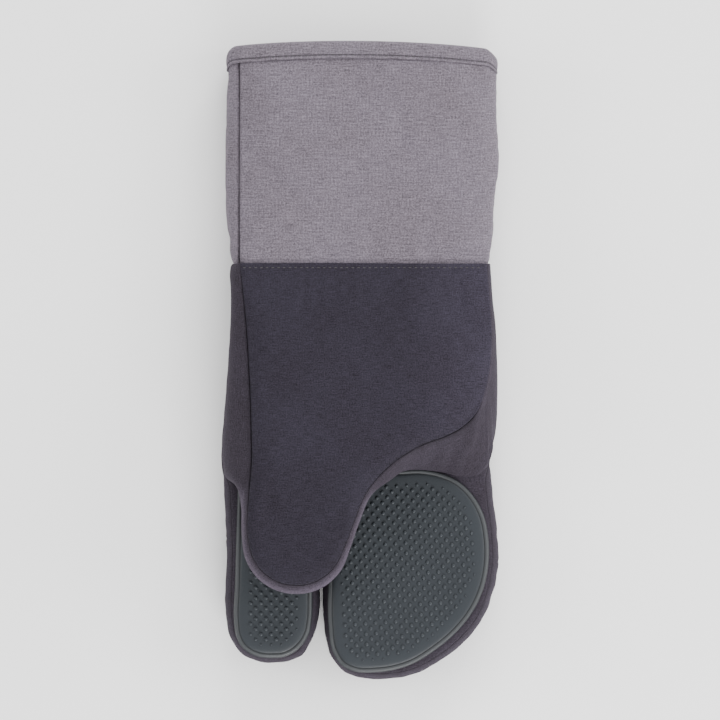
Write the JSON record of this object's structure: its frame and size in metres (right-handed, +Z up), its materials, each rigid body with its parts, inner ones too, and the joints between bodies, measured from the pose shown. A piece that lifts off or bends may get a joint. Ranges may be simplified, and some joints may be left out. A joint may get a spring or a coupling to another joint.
{
  "type": "oven mitt",
  "caption": "Long padded oven mitt with a canvas cuff, a hinging thumb lobe and separate index and finger lobes faced with dimpled silicone grip pads.",
  "frame": {"origin": "under the middle of the whole mitt, on the surface that its back lies on", "axes": "+Y along the length towards the cuff's mouth, +Z up from the back of the hand towards the thumb, +X to the right seen from above with the cuff at the top"},
  "size_m": [0.161, 0.37, 0.0528],
  "materials": {
    "cuff_canvas": "plain weave cotton canvas, light mauve grey, matt",
    "hem_canvas": "plain weave cotton canvas folded double, slightly darker, matt",
    "dark_fabric": "fine dark aubergine grey fabric, matt",
    "gusset_fabric": "fine dark purple brown fabric, matt",
    "batting": "bonded cotton batting",
    "lining": "soft grey cotton lining",
    "tan_thread": "light tan polyester thread",
    "grey_thread": "light grey polyester thread",
    "grip_silicone": "slate grey silicone with small raised domes, satin"
  },
  "bodies": {
    "hand": {"palm_front_panel": "dark_fabric", "outer_side_gusset": "gusset_fabric", "inner_side_gusset": "gusset_fabric", "palm_web": "gusset_fabric", "hand_back_panel": "dark_fabric", "palm_batting": "batting", "hand_back_batting": "batting", "hand_lining": "lining", "crotch_panel": "gusset_fabric", "waist_stitching": "tan_thread"},
    "cuff": {"cuff_front": "cuff_canvas", "cuff_back": "cuff_canvas", "cuff_front_batting": "batting", "cuff_back_batting": "batting", "cuff_lining": "lining", "cuff_hem": "hem_canvas", "hem_stitching": "grey_thread"},
    "thumb": {"thumb_front_panel": "dark_fabric", "thumb_gusset": "gusset_fabric", "thumb_grip_panel": "dark_fabric", "thumb_grip_pad": "grip_silicone", "thumb_front_batting": "batting", "thumb_grip_batting": "batting", "thumb_lining": "lining"},
    "index": {"index_grip_panel": "dark_fabric", "index_gusset": "gusset_fabric", "index_back_panel": "dark_fabric", "index_grip_pad": "grip_silicone", "index_grip_batting": "batting", "index_back_batting": "batting", "index_lining": "lining"},
    "fingers": {"finger_grip_panel": "dark_fabric", "finger_gusset": "gusset_fabric", "finger_back_panel": "dark_fabric", "finger_grip_pad": "grip_silicone", "finger_grip_batting": "batting", "finger_back_batting": "batting", "finger_lining": "lining"}
  },
  "joints": [
    {"name": "thumb_fold", "type": "hinge", "parent": "hand", "child": "thumb", "pos_m": [-0.024, -0.06, 0.0528], "axis": [-1, 0, 0], "range_deg": [0, 50]},
    {"name": "index_spread", "type": "hinge", "parent": "hand", "child": "index", "pos_m": [-0.0805, -0.06, 0.013], "axis": [0, 0, -1], "range_deg": [0, 10]},
    {"name": "finger_spread", "type": "hinge", "parent": "hand", "child": "fingers", "pos_m": [0.0805, -0.06, 0.013], "axis": [0, 0, 1], "range_deg": [0, 8]},
    {"name": "waist_fold", "type": "hinge", "parent": "hand", "child": "cuff", "pos_m": [0, 0.056, 0.0348], "axis": [1, 0, 0], "range_deg": [0, 35]}
  ]
}
